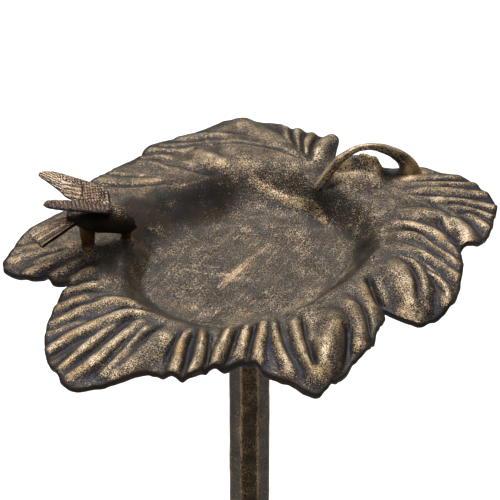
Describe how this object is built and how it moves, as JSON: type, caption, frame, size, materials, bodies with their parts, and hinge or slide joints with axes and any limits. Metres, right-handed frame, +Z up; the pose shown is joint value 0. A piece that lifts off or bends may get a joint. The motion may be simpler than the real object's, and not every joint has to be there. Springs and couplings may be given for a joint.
{
  "type": "bird bath",
  "caption": "Leaf-shaped bird bath with a stem loop and a small perched bird, on an octagonal post with a round base, in antique bronze.",
  "frame": {"origin": "on the ground under the post's axis, which is the middle of the part in plan", "axes": "+Z up along the post; +Y towards the back of the leaf; +X towards the lobe where the stem loop lands; the bird stands at -X"},
  "size_m": [0.4555, 0.4149, 0.7959],
  "materials": {
    "leaf_bronze": "satin",
    "bird_bronze": "satin",
    "post_bronze": "satin",
    "base_bronze": "satin",
    "fastener_steel": "satin",
    "black_rubber": "matte"
  },
  "bodies": {
    "stand": {"base_casting": "base_bronze", "foot_1": "black_rubber", "foot_2": "black_rubber", "foot_3": "black_rubber", "foot_4": "black_rubber", "post_lower": "post_bronze", "post_upper": "post_bronze", "post_cap": "post_bronze", "tie_rod": "fastener_steel", "tie_rod_washer": "fastener_steel", "tie_rod_nut": "fastener_steel"},
    "thread_follower": {"seat_washer": "black_rubber"},
    "bowl": {"leaf_bowl": "leaf_bronze", "stem_loop": "leaf_bronze", "bird_body": "bird_bronze", "bird_wing_left": "bird_bronze", "bird_wing_right": "bird_bronze", "bird_screw_rear": "fastener_steel", "bird_screw_front": "fastener_steel", "bird_washer_rear": "fastener_steel", "bird_washer_front": "fastener_steel"}
  },
  "joints": [
    {"name": "bowl_lift", "type": "slide", "parent": "stand", "child": "thread_follower", "axis": [0, 0, 1], "range_m": [0, 0.016]},
    {"name": "bowl_turn", "type": "hinge", "parent": "thread_follower", "child": "bowl", "pos_m": [0, 0, 0.675], "axis": [0, 0, 1], "range_deg": [0, 1440]}
  ],
  "couplings": [
    {"joint": "bowl_lift", "follows": "bowl_turn", "m_per_rad": 0.00063661}
  ]
}
